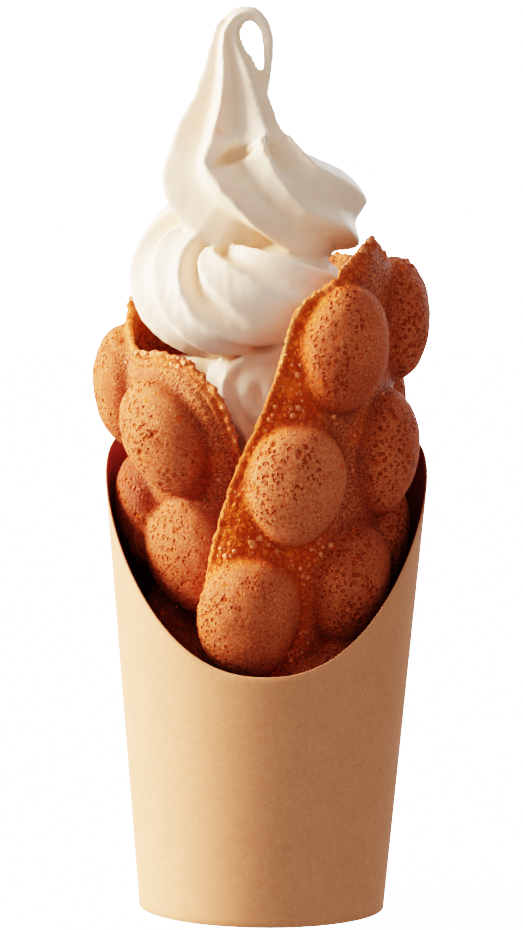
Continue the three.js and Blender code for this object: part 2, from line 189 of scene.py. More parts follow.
def joined(parts):  # several (points, faces) as one
    points, faces, start = [], [], 0
    for somePoints, someFaces in parts:
        points.append(np.asarray(somePoints, float))
        faces.extend([[start + i for i in face] for face in someFaces])
        start += len(somePoints)
    return np.concatenate(points), faces


def circle(sides):  # angles round a ring
    return np.arange(sides) * 2 * math.pi / sides


def ringStack(rings):  # a closed skin through rings of the same count, with a middle point at each end
    rings = np.asarray(rings, float)
    count, sides = rings.shape[:2]
    faces = gridFaces(count, sides, closed=True).tolist()
    low, high = count * sides, count * sides + 1
    for k in range(sides):
        faces.append([low, (k + 1) % sides, k])
        faces.append([high, (count - 1) * sides + k, (count - 1) * sides + (k + 1) % sides])
    points = np.concatenate([rings.reshape(-1, 3), [rings[0].mean(0)], [rings[-1].mean(0)]])
    return points, faces


class Wire:
    def __init__(self, shader, socket):
        self.shader = shader
        self.socket = socket

    def math(self, operation, other=None, swapped=False):
        pair = [other, self] if swapped else [self, other]
        values = {i: value for i, value in enumerate(pair) if value is not None}
        return self.shader.node("ShaderNodeMath", {"operation": operation}, values)

    def __add__(self, other):
        return self.math("ADD", other)

    def __sub__(self, other):
        return self.math("SUBTRACT", other)

    def __rsub__(self, other):
        return self.math("SUBTRACT", other, True)

    def __mul__(self, other):
        return self.math("MULTIPLY", other)

    def __truediv__(self, other):
        return self.math("DIVIDE", other)

    def __rtruediv__(self, other):
        return self.math("DIVIDE", other, True)

    __radd__ = __add__
    __rmul__ = __mul__

    def within(self, low, high, start=0.0, end=1.0):  # eased to end as the value goes from low to high
        values = {"Value": self, "From Min": low, "From Max": high, "To Min": start, "To Max": end}
        return self.shader.node("ShaderNodeMapRange", {"interpolation_type": "SMOOTHSTEP"}, values)


class Shader:
    def __init__(self, name, **finish):
        self.material = bpy.data.materials.new(name)
        self.material.use_nodes = True
        self.tree = self.material.node_tree
        self.tree.nodes.clear()
        self.output = self.tree.nodes.new("ShaderNodeOutputMaterial")
        self.surface = self.tree.nodes.new("ShaderNodeBsdfPrincipled")
        self.tree.links.new(self.surface.outputs[0], self.output.inputs["Surface"])
        for key, value in finish.items():
            self.surface.inputs[key.replace("_", " ")].default_value = value
        self.place = self.node("ShaderNodeTexCoord", output="Object")

    def node(self, kind, settings=None, values=None, output=0):
        made = self.tree.nodes.new(kind)
        for key, value in (settings or {}).items():
            setattr(made, key, value)
        for key, value in (values or {}).items():
            if isinstance(value, Wire):
                self.tree.links.new(value.socket, made.inputs[key])
            else:
                made.inputs[key].default_value = value
        return Wire(self, made.outputs[output])

    def value(self, name):  # a value stored on the mesh
        return self.node("ShaderNodeAttribute", {"attribute_name": name}, output="Fac")

    def noise(self, size, detail=3.0, roughness=0.55, stretch=None):
        place = self.place
        if stretch:
            place = self.node("ShaderNodeMapping", None, {"Vector": place, "Scale": stretch})
        values = {"Vector": place, "Scale": 1 / (size * millimetre), "Detail": detail, "Roughness": roughness}
        return self.node("ShaderNodeTexNoise", None, values)

    def cells(self, size, feature="F1", place=None):
        values = {"Vector": place or self.place, "Scale": 1 / (size * millimetre)}
        return self.node("ShaderNodeTexVoronoi", {"feature": feature}, values, "Distance")

    def warped(self, size, reach):  # the place pushed about by up to reach, over features of size
        values = {"Vector": self.place, "Scale": 1 / (size * millimetre)}
        noise = self.node("ShaderNodeTexNoise", None, values, "Color")
        centred = self.node("ShaderNodeVectorMath", {"operation": "SUBTRACT"}, {0: noise, 1: (0.5, 0.5, 0.5)})
        values = {0: centred, "Scale": 2 * reach * millimetre}
        push = self.node("ShaderNodeVectorMath", {"operation": "SCALE"}, values)
        return self.node("ShaderNodeVectorMath", {"operation": "ADD"}, {0: self.place, 1: push})

    def spots(self, spacing, smallest, largest, share=1.0, place=None):  # 1 in the middle of a spot
        distance = self.cells(spacing, place=place)
        chance = Wire(self, distance.socket.node.outputs["Color"])
        red = self.node("ShaderNodeSeparateColor", None, {0: chance})
        green = Wire(self, red.socket.node.outputs[1])
        radius = red * red * ((largest - smallest) / spacing) + smallest / spacing
        return (1 - (distance / radius).within(0.0, 1.0)) * green.within(1 - share, 1.001 - share)

    def blend(self, factor, first, second):
        return self.node("ShaderNodeMix", {"data_type": "RGBA"}, {0: factor, 6: first, 7: second}, 2)

    def bump(self, height, distance, strength):
        values = {"Height": height, "Distance": distance * millimetre, "Strength": strength}
        return self.node("ShaderNodeBump", None, values, "Normal")

    def feed(self, **wires):
        for key, wire in wires.items():
            self.tree.links.new(wire.socket, self.surface.inputs[key.replace("_", " ")])
        return self.material


def linear(value):  # a screen value from 0 to 255 as a linear one
    return ((value / 255 + 0.055) / 1.055) ** 2.4 if value > 10 else value / 255 / 12.92


def colour(red, green, blue):
    return (linear(red), linear(green), linear(blue), 1)


cup = {
    "footRadius": 35.2,
    "slope": 0.088,
    "wall": 0.6,
    "frontHeight": 71.5,
    "backHeight": 134.5,
    "scoopTurn": 120,
    "scoopPower": 1.15,
    "hemHeight": 6,
    "baseHeight": 7,
    "columns": 220,
    "rows": 40,
    "gap": 0.3,
    "footBevel": 0.15,
    "lipBevel": 0.12,
    "seamTurn": 188,
    "seamWidth": 7,
    "seamRamp": 1.2,
    "seamStep": 0.35,
    "seamDegree": 0.82,  # millimetres round the wall for each degree
}


def cupRadius(height):
    return cup["footRadius"] + cup["slope"] * height


def rimHeight(turn):
    away = np.abs((np.asarray(turn) + 180) % 360 - 180)
    share = np.minimum(away / cup["scoopTurn"], 1) ** cup["scoopPower"]
    rise = cup["backHeight"] - cup["frontHeight"]
    return cup["frontHeight"] + rise * 0.5 * (1 - np.cos(math.pi * share))


def cupTurns():
    return np.arange(cup["columns"]) * 360 / cup["columns"]


def latheWall(rows):  # a closed skin from (inset, height) rows, each one value or one for each turn
    turns = cupTurns()
    angle = np.radians(turns)
    rings = []
    for inset, height in rows:
        height = np.broadcast_to(height, turns.shape)
        radius = np.maximum(cupRadius(height) - inset, 0)
        rings.append(np.stack([-radius * np.sin(angle), -radius * np.cos(angle), height], 1))
    points = np.array(rings).reshape(-1, 3)
    faces = gridFaces(len(rings) + 1, cup["columns"], closed=True, flip=True) % len(points)
    return points, faces.tolist()


def buildCupWall():
    turns = cupTurns()
    top = rimHeight(turns)
    wall, hem = cup["wall"], cup["hemHeight"]
    foot, lip = cup["footBevel"], cup["lipBevel"]
    channel = wall + 2 * cup["gap"]
    hemFace = wall * 2 + channel
    seamAway = np.abs(turns - cup["seamTurn"]) * cup["seamDegree"]
    seamHalf = cup["seamWidth"] / 2
    seam = cup["seamStep"] * (1 - easeWithin(seamHalf, seamHalf + cup["seamRamp"], seamAway))
    rows = []
    for share in np.linspace(0, 1, cup["rows"]):
        rows.append((0.0 - seam * easeWithin(0.0, 0.03, share), foot + (top - 2 * foot) * share))
    rows += [(lip - seam * 0.7, top - 0.05), (wall / 2, top), (wall - lip, top - 0.05)]
    for share in np.linspace(1, 0, cup["rows"]):
        rows.append((wall, wall + (top - 2 * foot - wall) * share))
    rows += [(wall + channel, wall), (wall + channel, hem - 0.1), (wall * 1.5 + channel, hem)]
    rows += [(hemFace, hem - 0.1), (hemFace, foot), (hemFace - foot, 0.0), (foot, 0.0)]
    points, faces = latheWall(rows)
    thing = makeObject("cup_wall_paper", points, faces)
    radius = np.hypot(points[:, 0], points[:, 1])
    setValues(thing, inner=easeWithin(0.2, 0.5, cupRadius(points[:, 2]) - radius))
    shadeSmooth(thing)
    return thing


def buildCupBase():
    wall, gap, high = cup["wall"], cup["gap"], cup["baseHeight"]
    outer, inner, low, lip = wall + gap, 2 * wall + gap, wall + gap, cup["lipBevel"]
    middle = cupRadius(0)
    rows = [(middle * share, high + wall) for share in (0.98, 0.75, 0.5, 0.25)]
    rows += [(outer + 0.5, high + wall), (outer + lip, high + wall - lip), (outer, high + wall - 0.5)]
    rows += [(outer, low + 0.1), (outer + 0.1, low), (inner - 0.1, low), (inner, low + 0.1)]
    rows += [(inner, high - 0.5), (inner + lip, high - lip), (inner + 0.5, high)]
    rows += [(middle * share, high) for share in (0.25, 0.5, 0.75, 0.98)]
    thing = makeObject("cup_base_board", *latheWall(rows))
    shadeSmooth(thing)
    return thing


def kraftMaterial():
    shader = Shader("kraftPaper", Roughness=0.82, Specular_IOR_Level=0.35)
    cloud = shader.noise(9, 4, 0.6)
    grain = shader.noise(0.9, 6, 0.7)
    fibres = shader.noise(0.5, 3, 0.6, stretch=(1.0, 0.8, 0.6))
    crossFibres = shader.noise(2.4, 5, 0.7)
    specks = 1 - shader.cells(2.6).within(0.05, 0.16)
    shade = cloud * 0.16 + grain * 0.44 + fibres * 0.25 + crossFibres * 0.25
    paper = shader.blend(shade.within(0.35, 0.78), colour(190, 124, 86), colour(212, 146, 106))
    paper = shader.blend(specks * 0.3, paper, colour(134, 78, 46))
    # painted shade: the wall's inner face darker and redder than its outer face
    paintedShadeInside = shader.blend(shade.within(0.35, 0.75), colour(130, 54, 46), colour(148, 68, 58))
    height = grain * 0.5 + fibres * 0.3 + crossFibres * 0.3
    return shader.feed(
        Base_Color=shader.blend(shader.value("inner"), paper, paintedShadeInside),
        Roughness=shade.within(0.3, 0.8, 0.78, 0.9),
        Normal=shader.bump(height, 0.12, 0.5),
    )


def boardMaterial():
    shader = Shader("kraftBoard", Roughness=0.85)
    shade = shader.noise(5, 5, 0.6) * 0.5 + shader.noise(0.8, 5, 0.7) * 0.5
    board = shader.blend(shade.within(0.35, 0.7), colour(160, 112, 76), colour(190, 145, 105))
    return shader.feed(Base_Color=board, Normal=shader.bump(shade, 0.15, 0.5))


waffle = {
    "thickness": 3.4,
    "rimThickness": 1.9,
    "columns": 300,
    "rows": 90,
    "firstTurn": -6,
    "lastTurn": 398,
    "lean": -2.6,
    "leanHeights": (90, 170),
    "tuck": 12,
    "tuckTurns": (95, 20),
    "tuckHeights": (150, 105),
    "flare": 4,
    "flareTurns": (345, 390),
    "coneStops": [(8, 6), (30, 12), (60, 19), (95, 27.5), (113, 31), (130, 33.8), (150, 36.3), (170, 37),
                  (195, 37)],
    "upperEdge": [(-6, 90), (2, 113), (11, 133), (15, 146), (23, 153.5), (32, 158.5), (45, 160.5),
                  (72, 161), (97, 173), (140, 183), (200, 187), (285, 187), (303, 193), (328, 181),
                  (345, 172), (354, 153), (375, 124), (398, 86)],
    "lowerEdge": [(-6, 84), (35, 45), (150, 14), (205, 10), (260, 14), (350, 45), (385, 66), (398, 80)],
    "edgeWave": [(0.6, 9, 3), (0.4, 3.2, 4)],
    "thinEdge": (0.5, 7),
    "unrolledRadius": 36,
    "tipRings": [(8.4, 0.5), (8.6, 4.6), (30, 10.6), (42, 12.6), (50, 0.5)],
    "tipSides": 40,
    "lowest": 8.05,
    "outerLapTurns": (322, 345),
    "filletPasses": 3,
    "swell": [(0.16, 13, 5), (0.08, 5, 6)],
    "crumb": [(0.38, 2.6, 7), (0.28, 1.7, 8)],
    "edgeGrooves": [(2.2, 0.9), (4.5, 0.8)],  # distance from the edge and depth
    "edgeGrooveWidth": 0.65,
    "voxel": 0.8,
    "mostTriangles": 192000,
    "raggedness": 0.55,
}

bubbles = {
    "halfLength": 18.0,
    "halfWidth": 13.2,
    "height": 10.28,
    "lift": 1.5,
    "columnHeight": 100,
    "columns": [
        # bake values low to high: small ones are bake differences; the dark lower bubbles at turns 99.5 and
        # 51 are painted shadow of the cup wall; -0.6 at 359.5 and -0.3 at 51 are painted light
        {"turn": 359.5, "drift": -0.61, "low": 86.5, "pitch": 37.9, "lean": 9, "bake": (-0.2, -0.6, 0)},
        {"turn": 302.5, "drift": -0.46, "low": 58, "pitch": 37.2, "lean": 4, "bake": (0.2, 0.3, 0.1, 0.1)},
        {"turn": 268, "drift": -0.72, "low": 69, "pitch": 38.5, "lean": 5, "bake": (0.2, 0, -0.2)},
        {"turn": 212, "drift": -0.4, "low": 81, "pitch": 37, "lean": 0, "bake": (0.2, -0.1, 0.1)},
        {"turn": 155, "drift": -0.2, "low": 84, "pitch": 37, "lean": 0, "bake": (0.1, 0.2, -0.1)},
        {"turn": 99.5, "drift": -0.05, "low": 77, "pitch": 36.2, "lean": 0, "bake": (1, 1, 0)},
        {"turn": 51, "drift": 0, "low": 66, "pitch": 35.4, "lean": -8, "bake": (0.7, 0.4, -0.3)},
    ],
}


def axisX(height):
    return waffle["lean"] * easeWithin(*waffle["leanHeights"], height)


def sheetRadius(turn, height):
    tucked = waffle["tuck"] * easeWithin(*waffle["tuckTurns"], turn)
    tucked = tucked * easeWithin(*waffle["tuckHeights"], height)
    flared = waffle["flare"] * easeWithin(*waffle["flareTurns"], turn)
    return through(waffle["coneStops"], height) - tucked + flared


def sheetPoint(turn, height):
    turn, height = np.broadcast_arrays(np.asarray(turn, float), np.asarray(height, float))
    radius, angle = sheetRadius(turn, height), np.radians(turn)
    return np.stack([axisX(height) - radius * np.sin(angle), -radius * np.cos(angle), height], -1)


def sheetFrame(turn, height):  # the sheet's own directions: outward and along its height
    across = sheetPoint(turn + 0.5, height) - sheetPoint(turn - 0.5, height)
    along = sheetPoint(turn, height + 0.5) - sheetPoint(turn, height - 0.5)
    return unit(-np.cross(across, along)), unit(along)


def bubblePlaces():
    places = []
    for column in bubbles["columns"]:
        # these values mix real bake with painted shade and painted light
        for i, bake in enumerate(column["bake"]):  # above 0 darker, below 0 paler than the rest
            height = column["low"] + i * column["pitch"]
            turn = column["turn"] + column["drift"] * (height - bubbles["columnHeight"])
            places.append((turn, height, column["lean"], bake))
    return places


def edgeHeights(turn, ragged=True):
    low = through(waffle["lowerEdge"], turn)
    high = through(waffle["upperEdge"], turn)
    if ragged:
        along = np.asarray(turn, float)[..., None] * 0.6
        flat = along.reshape(-1, 1)
        wave = layered(flat, waffle["edgeWave"])
        high = high + waffle["raggedness"] * wave.reshape(np.shape(high))
    return low, high


def outlineDistance(turn, height, stepCount=700, batch=4000):  # to the unrolled sheet's nearest edge
    steps = np.linspace(waffle["firstTurn"], waffle["lastTurn"], stepCount)
    low, high = edgeHeights(steps, ragged=False)
    around = math.radians(1) * waffle["unrolledRadius"]
    border = np.concatenate([np.stack([steps * around, low], 1), np.stack([steps * around, high], 1)])
    place = np.stack([np.asarray(turn, float).ravel() * around, np.asarray(height, float).ravel()], 1)
    nearest = np.full(len(place), 1e9)
    for start in range(0, len(place), batch):
        some = place[start:start + batch]
        far = ((some[:, None, :] - border[None, :, :]) ** 2).sum(-1)
        nearest[start:start + batch] = np.sqrt(far.min(1))
    return nearest.reshape(np.shape(turn))


def rolledSheet():
    columns, rows = waffle["columns"], waffle["rows"]
    share = 0.5 - 0.5 * np.cos(math.pi * np.linspace(0, 1, columns + 1))
    share = 0.5 * share + 0.5 * np.linspace(0, 1, columns + 1)
    turns = waffle["firstTurn"] + (waffle["lastTurn"] - waffle["firstTurn"]) * share
    low, high = edgeHeights(turns)
    up = 0.5 - 0.5 * np.cos(math.pi * np.linspace(0, 1, rows + 1))
    heights = low[None, :] + (high - low)[None, :] * up[:, None]
    turns = np.broadcast_to(turns, heights.shape)
    centre = sheetPoint(turns, heights)
    outward, _ = sheetFrame(turns, heights)
    distance = outlineDistance(turns, heights, 400)
    thicker = (waffle["thickness"] - waffle["rimThickness"]) * easeWithin(*waffle["thinEdge"], distance)
    half = (waffle["rimThickness"] + thicker) / 2
    near = np.clip(distance / half, 0, 1)
    half = half * np.sqrt(np.clip(1 - (1 - near) ** 2, 0, 1))
    half[0, :] = half[-1, :] = 0
    half[:, 0] = half[:, -1] = 0
    outer = (centre + outward * half[..., None]).reshape(-1, 3)
    inner = (centre - outward * half[..., None]).reshape(-1, 3)
    faces = np.concatenate([
        gridFaces(rows + 1, columns + 1, flip=True),
        gridFaces(rows + 1, columns + 1) + len(outer),
    ]).tolist()
    return np.concatenate([outer, inner]), faces


def eggShell(turn, height, lean, seed):  # one bubble, its root kept inside the sheet
    rng = np.random.default_rng(seed)
    around, rings = 56, 28
    polar = np.linspace(0.001, math.pi - 0.001, rings)[:, None]
    angle = circle(around)[None, :]
    x = np.sin(polar) * np.cos(angle)
    y = np.sin(polar) * np.sin(angle)
    z = np.cos(polar) * np.ones_like(angle)
    egg = 1 + rng.uniform(-0.06, 0.06) * y
    wide = bubbles["halfWidth"] * rng.uniform(0.97, 1.02)
    long = bubbles["halfLength"] * rng.uniform(0.97, 1.01)
    side, up = x * wide * egg, y * long
    tilt = math.radians(lean)
    side, up = side * math.cos(tilt) + up * math.sin(tilt), up * math.cos(tilt) - side * math.sin(tilt)
    lift = np.where(z > 0, z * bubbles["height"] + bubbles["lift"], bubbles["lift"] + z * 2.2)
    radius = sheetRadius(turn, height)
    _, along = sheetFrame(turn, height)
    turns = turn - np.degrees(side / radius)
    heights = height + up * along[2]
    place = sheetPoint(turns, heights)
    outward, _ = sheetFrame(turns, heights)
    return ringStack(place + outward * lift[..., None])


def sheetPlaces(points):  # turn, height and offset from the sheet of each point, on the lap that is nearer
    x = points[:, 0] - axisX(points[:, 2])
    radius = np.hypot(x, points[:, 1])
    base = np.degrees(np.arctan2(-x, -points[:, 1])) % 360
    best = np.full(len(points), 1e9)
    turn = base.copy()
    offset = np.zeros(len(points))
    for shift in (-360, 0, 360):
        candidate = base + shift
        inside = (candidate > waffle["firstTurn"] - 4) & (candidate < waffle["lastTurn"] + 4)
        low, high = edgeHeights(candidate, ragged=False)
        outside = np.maximum(np.maximum(low - points[:, 2], points[:, 2] - high), 0)
        away = radius - sheetRadius(candidate, points[:, 2])
        cost = np.where(away > 0, away, -away * 2.5) + outside * 3
        better = inside & (cost < best)
        best[better] = cost[better]
        turn[better] = candidate[better]
        offset[better] = away[better]
    return turn, points[:, 2], offset


def bubbleNearness(turn, height):  # 0 at the middle of the nearest bubble, 1 at its foot; its bake with painted light and shade, and its side
    nearest = np.full(len(turn), 9.0)
    bake = np.zeros(len(turn))
    flank = np.zeros(len(turn))
    for place in bubblePlaces():
        radius = sheetRadius(place[0], place[1])
        _, along = sheetFrame(place[0], place[1])
        side = -np.radians(turn - place[0]) * radius
        up = (height - place[1]) / along[2]
        tilt = math.radians(place[2])
        side, up = side * math.cos(tilt) - up * math.sin(tilt), up * math.cos(tilt) + side * math.sin(tilt)
        near = np.hypot(side / bubbles["halfWidth"], up / bubbles["halfLength"])
        flank[near < nearest] = side[near < nearest] / bubbles["halfWidth"]
        bake[near < nearest] = place[3]
        nearest = np.minimum(nearest, near)
    return nearest, bake, flank


pores = {
    "seed": 11,
    "count": 520,
    "smallest": 0.5,
    "largest": 1.2,
    "depth": 0.8,
    "stretch": 1.25,
    "lip": 0.09,
}


def porePattern(points, normals, weight):  # how deep the open pores are at each place, in millimetres
    rng = np.random.default_rng(pores["seed"])
    chosen = rng.choice(len(points), pores["count"], replace=False, p=weight / weight.sum())
    depth = np.zeros(len(points))
    lip = np.zeros(len(points))
    order = np.argsort(points[:, 2])
    heights = points[order, 2]
    for i in chosen:
        size = pores["smallest"] + (pores["largest"] - pores["smallest"]) * rng.random() ** 4
        reach = size * pores["stretch"] * 1.5
        low, high = np.searchsorted(heights, [points[i, 2] - reach, points[i, 2] + reach])
        near = order[low:high]
        away = points[near] - points[i]
        near, away = near[np.abs(away).max(1) < reach], away[np.abs(away).max(1) < reach]
        way = unit(np.cross(normals[i], rng.normal(size=3)))
        along = away @ way
        across = np.linalg.norm(away - along[:, None] * way, axis=1)
        ratio = np.hypot(along / pores["stretch"], across) / size
        depth[near] = np.maximum(depth[near], size * pores["depth"] * np.clip(1 - ratio ** 2, 0, 1) ** 1.3)
        lip[near] = np.maximum(lip[near], size * pores["lip"] * bell(ratio, 1.12, 0.2))
    return depth, lip


def buildWaffle():
    parts = [rolledSheet()]
    for i, place in enumerate(bubblePlaces()):
        parts.append(eggShell(*place[:3], seed=40 + i))
    angle = circle(waffle["tipSides"])
    tipRings = []
    for height, radius in waffle["tipRings"]:
        level = np.full(len(angle), height)
        tipRings.append(np.stack([radius * np.cos(angle), radius * np.sin(angle), level], 1))
    parts.append(ringStack(tipRings))
    thing = makeObject("waffle_baked", *joined(parts))
    remeshed(thing, waffle["voxel"])
    points, edges = pointsOf(thing), edgesOf(thing)
    print("waffle remeshed", len(points))
    points = relaxed(points, edges, 3, shrinkBack=0.52)

    turn, height, offset = sheetPlaces(points)
    near, bake, flank = bubbleNearness(turn, height)
    distance = outlineDistance(turn, height)
    outside = easeWithin(-0.6, 0.8, offset)
    foot = bell(near, 1.02, 0.13) * outside * easeWithin(2.0, 5.0, distance)
    for _ in range(waffle["filletPasses"]):  # fillets where the bubbles meet the sheet
        points = points + 0.6 * foot[:, None] * (averaged(points, edges) - points)
    setPoints(thing, points)

    normals = normalsOf(thing)
    outerLap = easeWithin(*waffle["outerLapTurns"], turn)
    swell = layered(points, waffle["swell"]) * easeWithin(0.3, 2, distance)
    crumb = easeWithin(4.5, 0.5, distance) * layered(points, waffle["crumb"])
    crumb *= 1 - 0.45 * outerLap
    groove = 0
    for place, deep in waffle["edgeGrooves"]:
        groove = groove + bell(distance, place, waffle["edgeGrooveWidth"]) * deep
    lap = easeWithin(100, 80, turn) + 0.4 * easeWithin(335, 350, turn)
    groove = groove * (outside * lap * easeWithin(0.7, 0.86, near))
    flank = flank + 0.4 * unevenness(points, 12, 15) - 0.75 * easeWithin(150, 120, turn) + 0.25
    porous = 0.2 + 0.8 * easeWithin(0.45, -0.45, flank)  # pores crowd on the thinner flank
    porous = np.maximum(porous, easeWithin(0.4, 0.9, bake))
    weight = easeWithin(1.0, 0.85, near) * easeWithin(3.0, 6.0, offset) * outside * porous
    depth, lip = porePattern(points, normals, weight + 1e-9)
    points = points + normals * (swell + crumb + lip - groove - depth)[:, None]
    points[:, 2] = np.maximum(points[:, 2], waffle["lowest"])
    setPoints(thing, points)

    rim = easeWithin(2.2, 0.4, distance)
    # painted shade in the creases round the bubbles' feet
    crease = bell(near, 1.04, 0.07) * outside * easeWithin(3.0, 6.0, distance)
    onBubble = easeWithin(1.15, 0.9, near)
    # painted shadow of the cup wall: the web darker low down at the left
    low = easeWithin(128, 110, height) * easeWithin(110, 85, turn)
    # painted light: the outer lap's edge, which faces the key light, made paler
    paintedRimLight = 0.8 * rim * easeWithin(150, 165, height) * outerLap
    web = easeWithin(0.98, 1.1, near) * outside * easeWithin(0.6, 1.4, offset + 0.4)
    golden = outerLap + 0.45 * easeWithin(5, 1, distance)
    golden = golden + 0.35 * easeWithin(-0.1, 0.7, unevenness(points, 16, 12))
    clusters = easeWithin(-0.3, 0.5, unevenness(points, 9, 13))
    ragged = easeWithin(-0.2, 0.8, unevenness(points, 7, 14))
    setValues(
        thing,
        bubble=easeWithin(1.08, 0.82, near) * outside,
        pore=np.clip(depth / 0.5, 0, 1),
        rim=rim,
        crease=crease * (1 - 0.7 * outerLap),
        bake=(bake * onBubble + 0.7 * low * (1 - onBubble) - paintedRimLight) * outside,
        foot=easeWithin(0.45, 0.95, near) * outside,
        outside=outside,
        porous=porous,
        golden=np.clip(golden, 0, 1),
        blister=web * easeWithin(1.0, 2.5, distance) * clusters * (0.2 + 0.8 * outerLap),
        crumb=easeWithin(1.3, 0.4, distance) * ragged * (1 - outerLap),
    )

    group = thing.vertex_groups.new(name="hidden")
    hidden = np.clip((1 - outside) + easeWithin(60, 40, height), 0, 1)
    for i in np.where(hidden > 0.5)[0].tolist():
        group.add([i], 1.0, "REPLACE")
    triangles = 2 * len(thing.data.polygons)
    if triangles > waffle["mostTriangles"]:
        thin = thing.modifiers.new("thin", "DECIMATE")
        thin.ratio = waffle["mostTriangles"] / triangles
        thin.vertex_group = "hidden"
        applied(thing)
    thing.vertex_groups.clear()
    shadeSmooth(thing)
    print("waffle faces", len(thing.data.polygons))
    return thing


def waffleMaterial():
    shader = Shader("bakedWaffle", Specular_IOR_Level=0.16)
    bubble, rim, pore, foot = (shader.value(name) for name in ("bubble", "rim", "pore", "foot"))
    golden, outside = shader.value("golden"), shader.value("outside")
    cloud = shader.noise(15, 3, 0.5)
    patch = shader.noise(4, 4, 0.6)
    grain = shader.noise(0.65, 3, 0.6)
    bent = shader.warped(1.2, 0.35)
    wrinkles = shader.cells(1.3, "DISTANCE_TO_EDGE", bent).within(0.14, 0.02)
    porous = shader.value("porous")
    # darker: bake and painted shadow of the cup wall; paler: painted light
    bake = shader.value("bake")
    dark, pale = bake.within(0.0, 1.0) * 0.9, bake.within(0.0, -1.0) * 0.6

    tops = shader.blend(cloud.within(0.35, 0.65), colour(172, 84, 48), colour(192, 102, 64))
    tops = shader.blend(dark, tops, colour(118, 50, 26))
    tops = shader.blend(pale, tops, colour(228, 136, 94))
    tops = shader.blend(grain.within(0.5, 0.7) * (0.5 - dark * 0.45), tops, colour(218, 134, 88))
    tops = shader.blend(grain.within(0.5, 0.32) * 0.7, tops, colour(150, 60, 20))
    tops = shader.blend(wrinkles * 0.4, tops, colour(170, 70, 18))
    largePores = shader.spots(1.4, 0.5, 0.92, 0.85, bent) * porous.within(0.3, 0.8) * bubble
    smallPores = shader.spots(0.85, 0.16, 0.36, 0.8, shader.warped(0.9, 0.25))
    smallPores = smallPores * (porous * 0.5 + 0.5) * bubble
    thinSpots = shader.spots(4.5, 0.8, 1.7, 0.75, bent) * foot * bubble

    base = shader.blend(patch.within(0.35, 0.7), colour(200, 76, 8), colour(226, 104, 18))
    foamPlace = shader.warped(3.5, 0.6)
    walls = shader.cells(1.9, "DISTANCE_TO_EDGE", foamPlace).within(0.2, 0.05)
    foam = shader.spots(1.9, 0.85, 1.25, 1.0, foamPlace)
    fineFoam = shader.spots(0.9, 0.3, 0.5, 0.9, bent)
    foamy = shader.noise(7, 3, 0.6).within(0.34, 0.46)
    glow = shader.blend(foamy * foam.within(0.0, 0.7), base, colour(222, 106, 32))
    glow = shader.blend(fineFoam.within(0.1, 0.7) * 0.3, glow, colour(236, 130, 40))
    glow = shader.blend(foamy * walls * 0.7, glow, colour(158, 54, 8))
    brown = shader.blend(grain.within(0.4, 0.62), colour(140, 56, 24), colour(192, 106, 62))
    brown = shader.blend(fineFoam.within(0.2, 0.8) * foamy * 0.6, brown, colour(214, 128, 72))
    brown = shader.blend(dark, brown, colour(104, 44, 20))
    web = shader.blend(golden, brown, glow)

    skin = shader.blend(bubble, web, tops)
    inner = shader.blend(patch.within(0.4, 0.7), colour(166, 80, 34), colour(190, 106, 54))
    skin = shader.blend(1 - outside, skin, inner)
    crust = shader.blend(golden, colour(200, 106, 60), colour(198, 88, 28))
    crust = shader.blend(grain.within(0.4, 0.62) * (0.6 - golden * 0.35), crust, colour(232, 148, 96))
    # painted light on the outer lap's lit edge and on the paler bubbles
    crust = shader.blend(pale, crust, colour(240, 164, 104))
    skin = shader.blend(rim * 0.85, skin, crust)
    skin = shader.blend(thinSpots.within(0.05, 0.3) * 0.75, skin, colour(200, 80, 12))
    opened = pore.within(0.15, 0.6) + largePores.within(0.02, 0.1)
    skin = shader.blend(opened.within(0.0, 1.0) * 0.85, skin, colour(176, 68, 12))
    skin = shader.blend(smallPores.within(0.03, 0.2) * 0.5, skin, colour(140, 54, 18))
    # painted shade in the creases round the bubbles' feet
    skin = shader.blend(shader.value("crease") * 0.5, skin, colour(120, 44, 14))
    scorched = (shader.noise(9, 2, 0.5) + dark * 0.12).within(0.58, 0.68)
    burnt = (1 - shader.cells(3.3).within(0.03, 0.1)) * scorched
    skin = shader.blend(burnt * 0.8, skin, colour(60, 30, 20))

    domes = (foam * foamy * 1.2 + fineFoam * 0.5) * (1 - bubble)
    pits = largePores.within(0.0, 0.6) * 3.2 + smallPores.within(0.0, 0.6) * 1.5
    height = grain * 1.1 + patch * 0.4 + domes - pits - wrinkles * 0.2
    return shader.feed(
        Base_Color=skin,
        Roughness=bubble * 0.15 + 0.5 + grain * 0.1,
        Normal=shader.bump(height, 0.34, 1.0),
    )


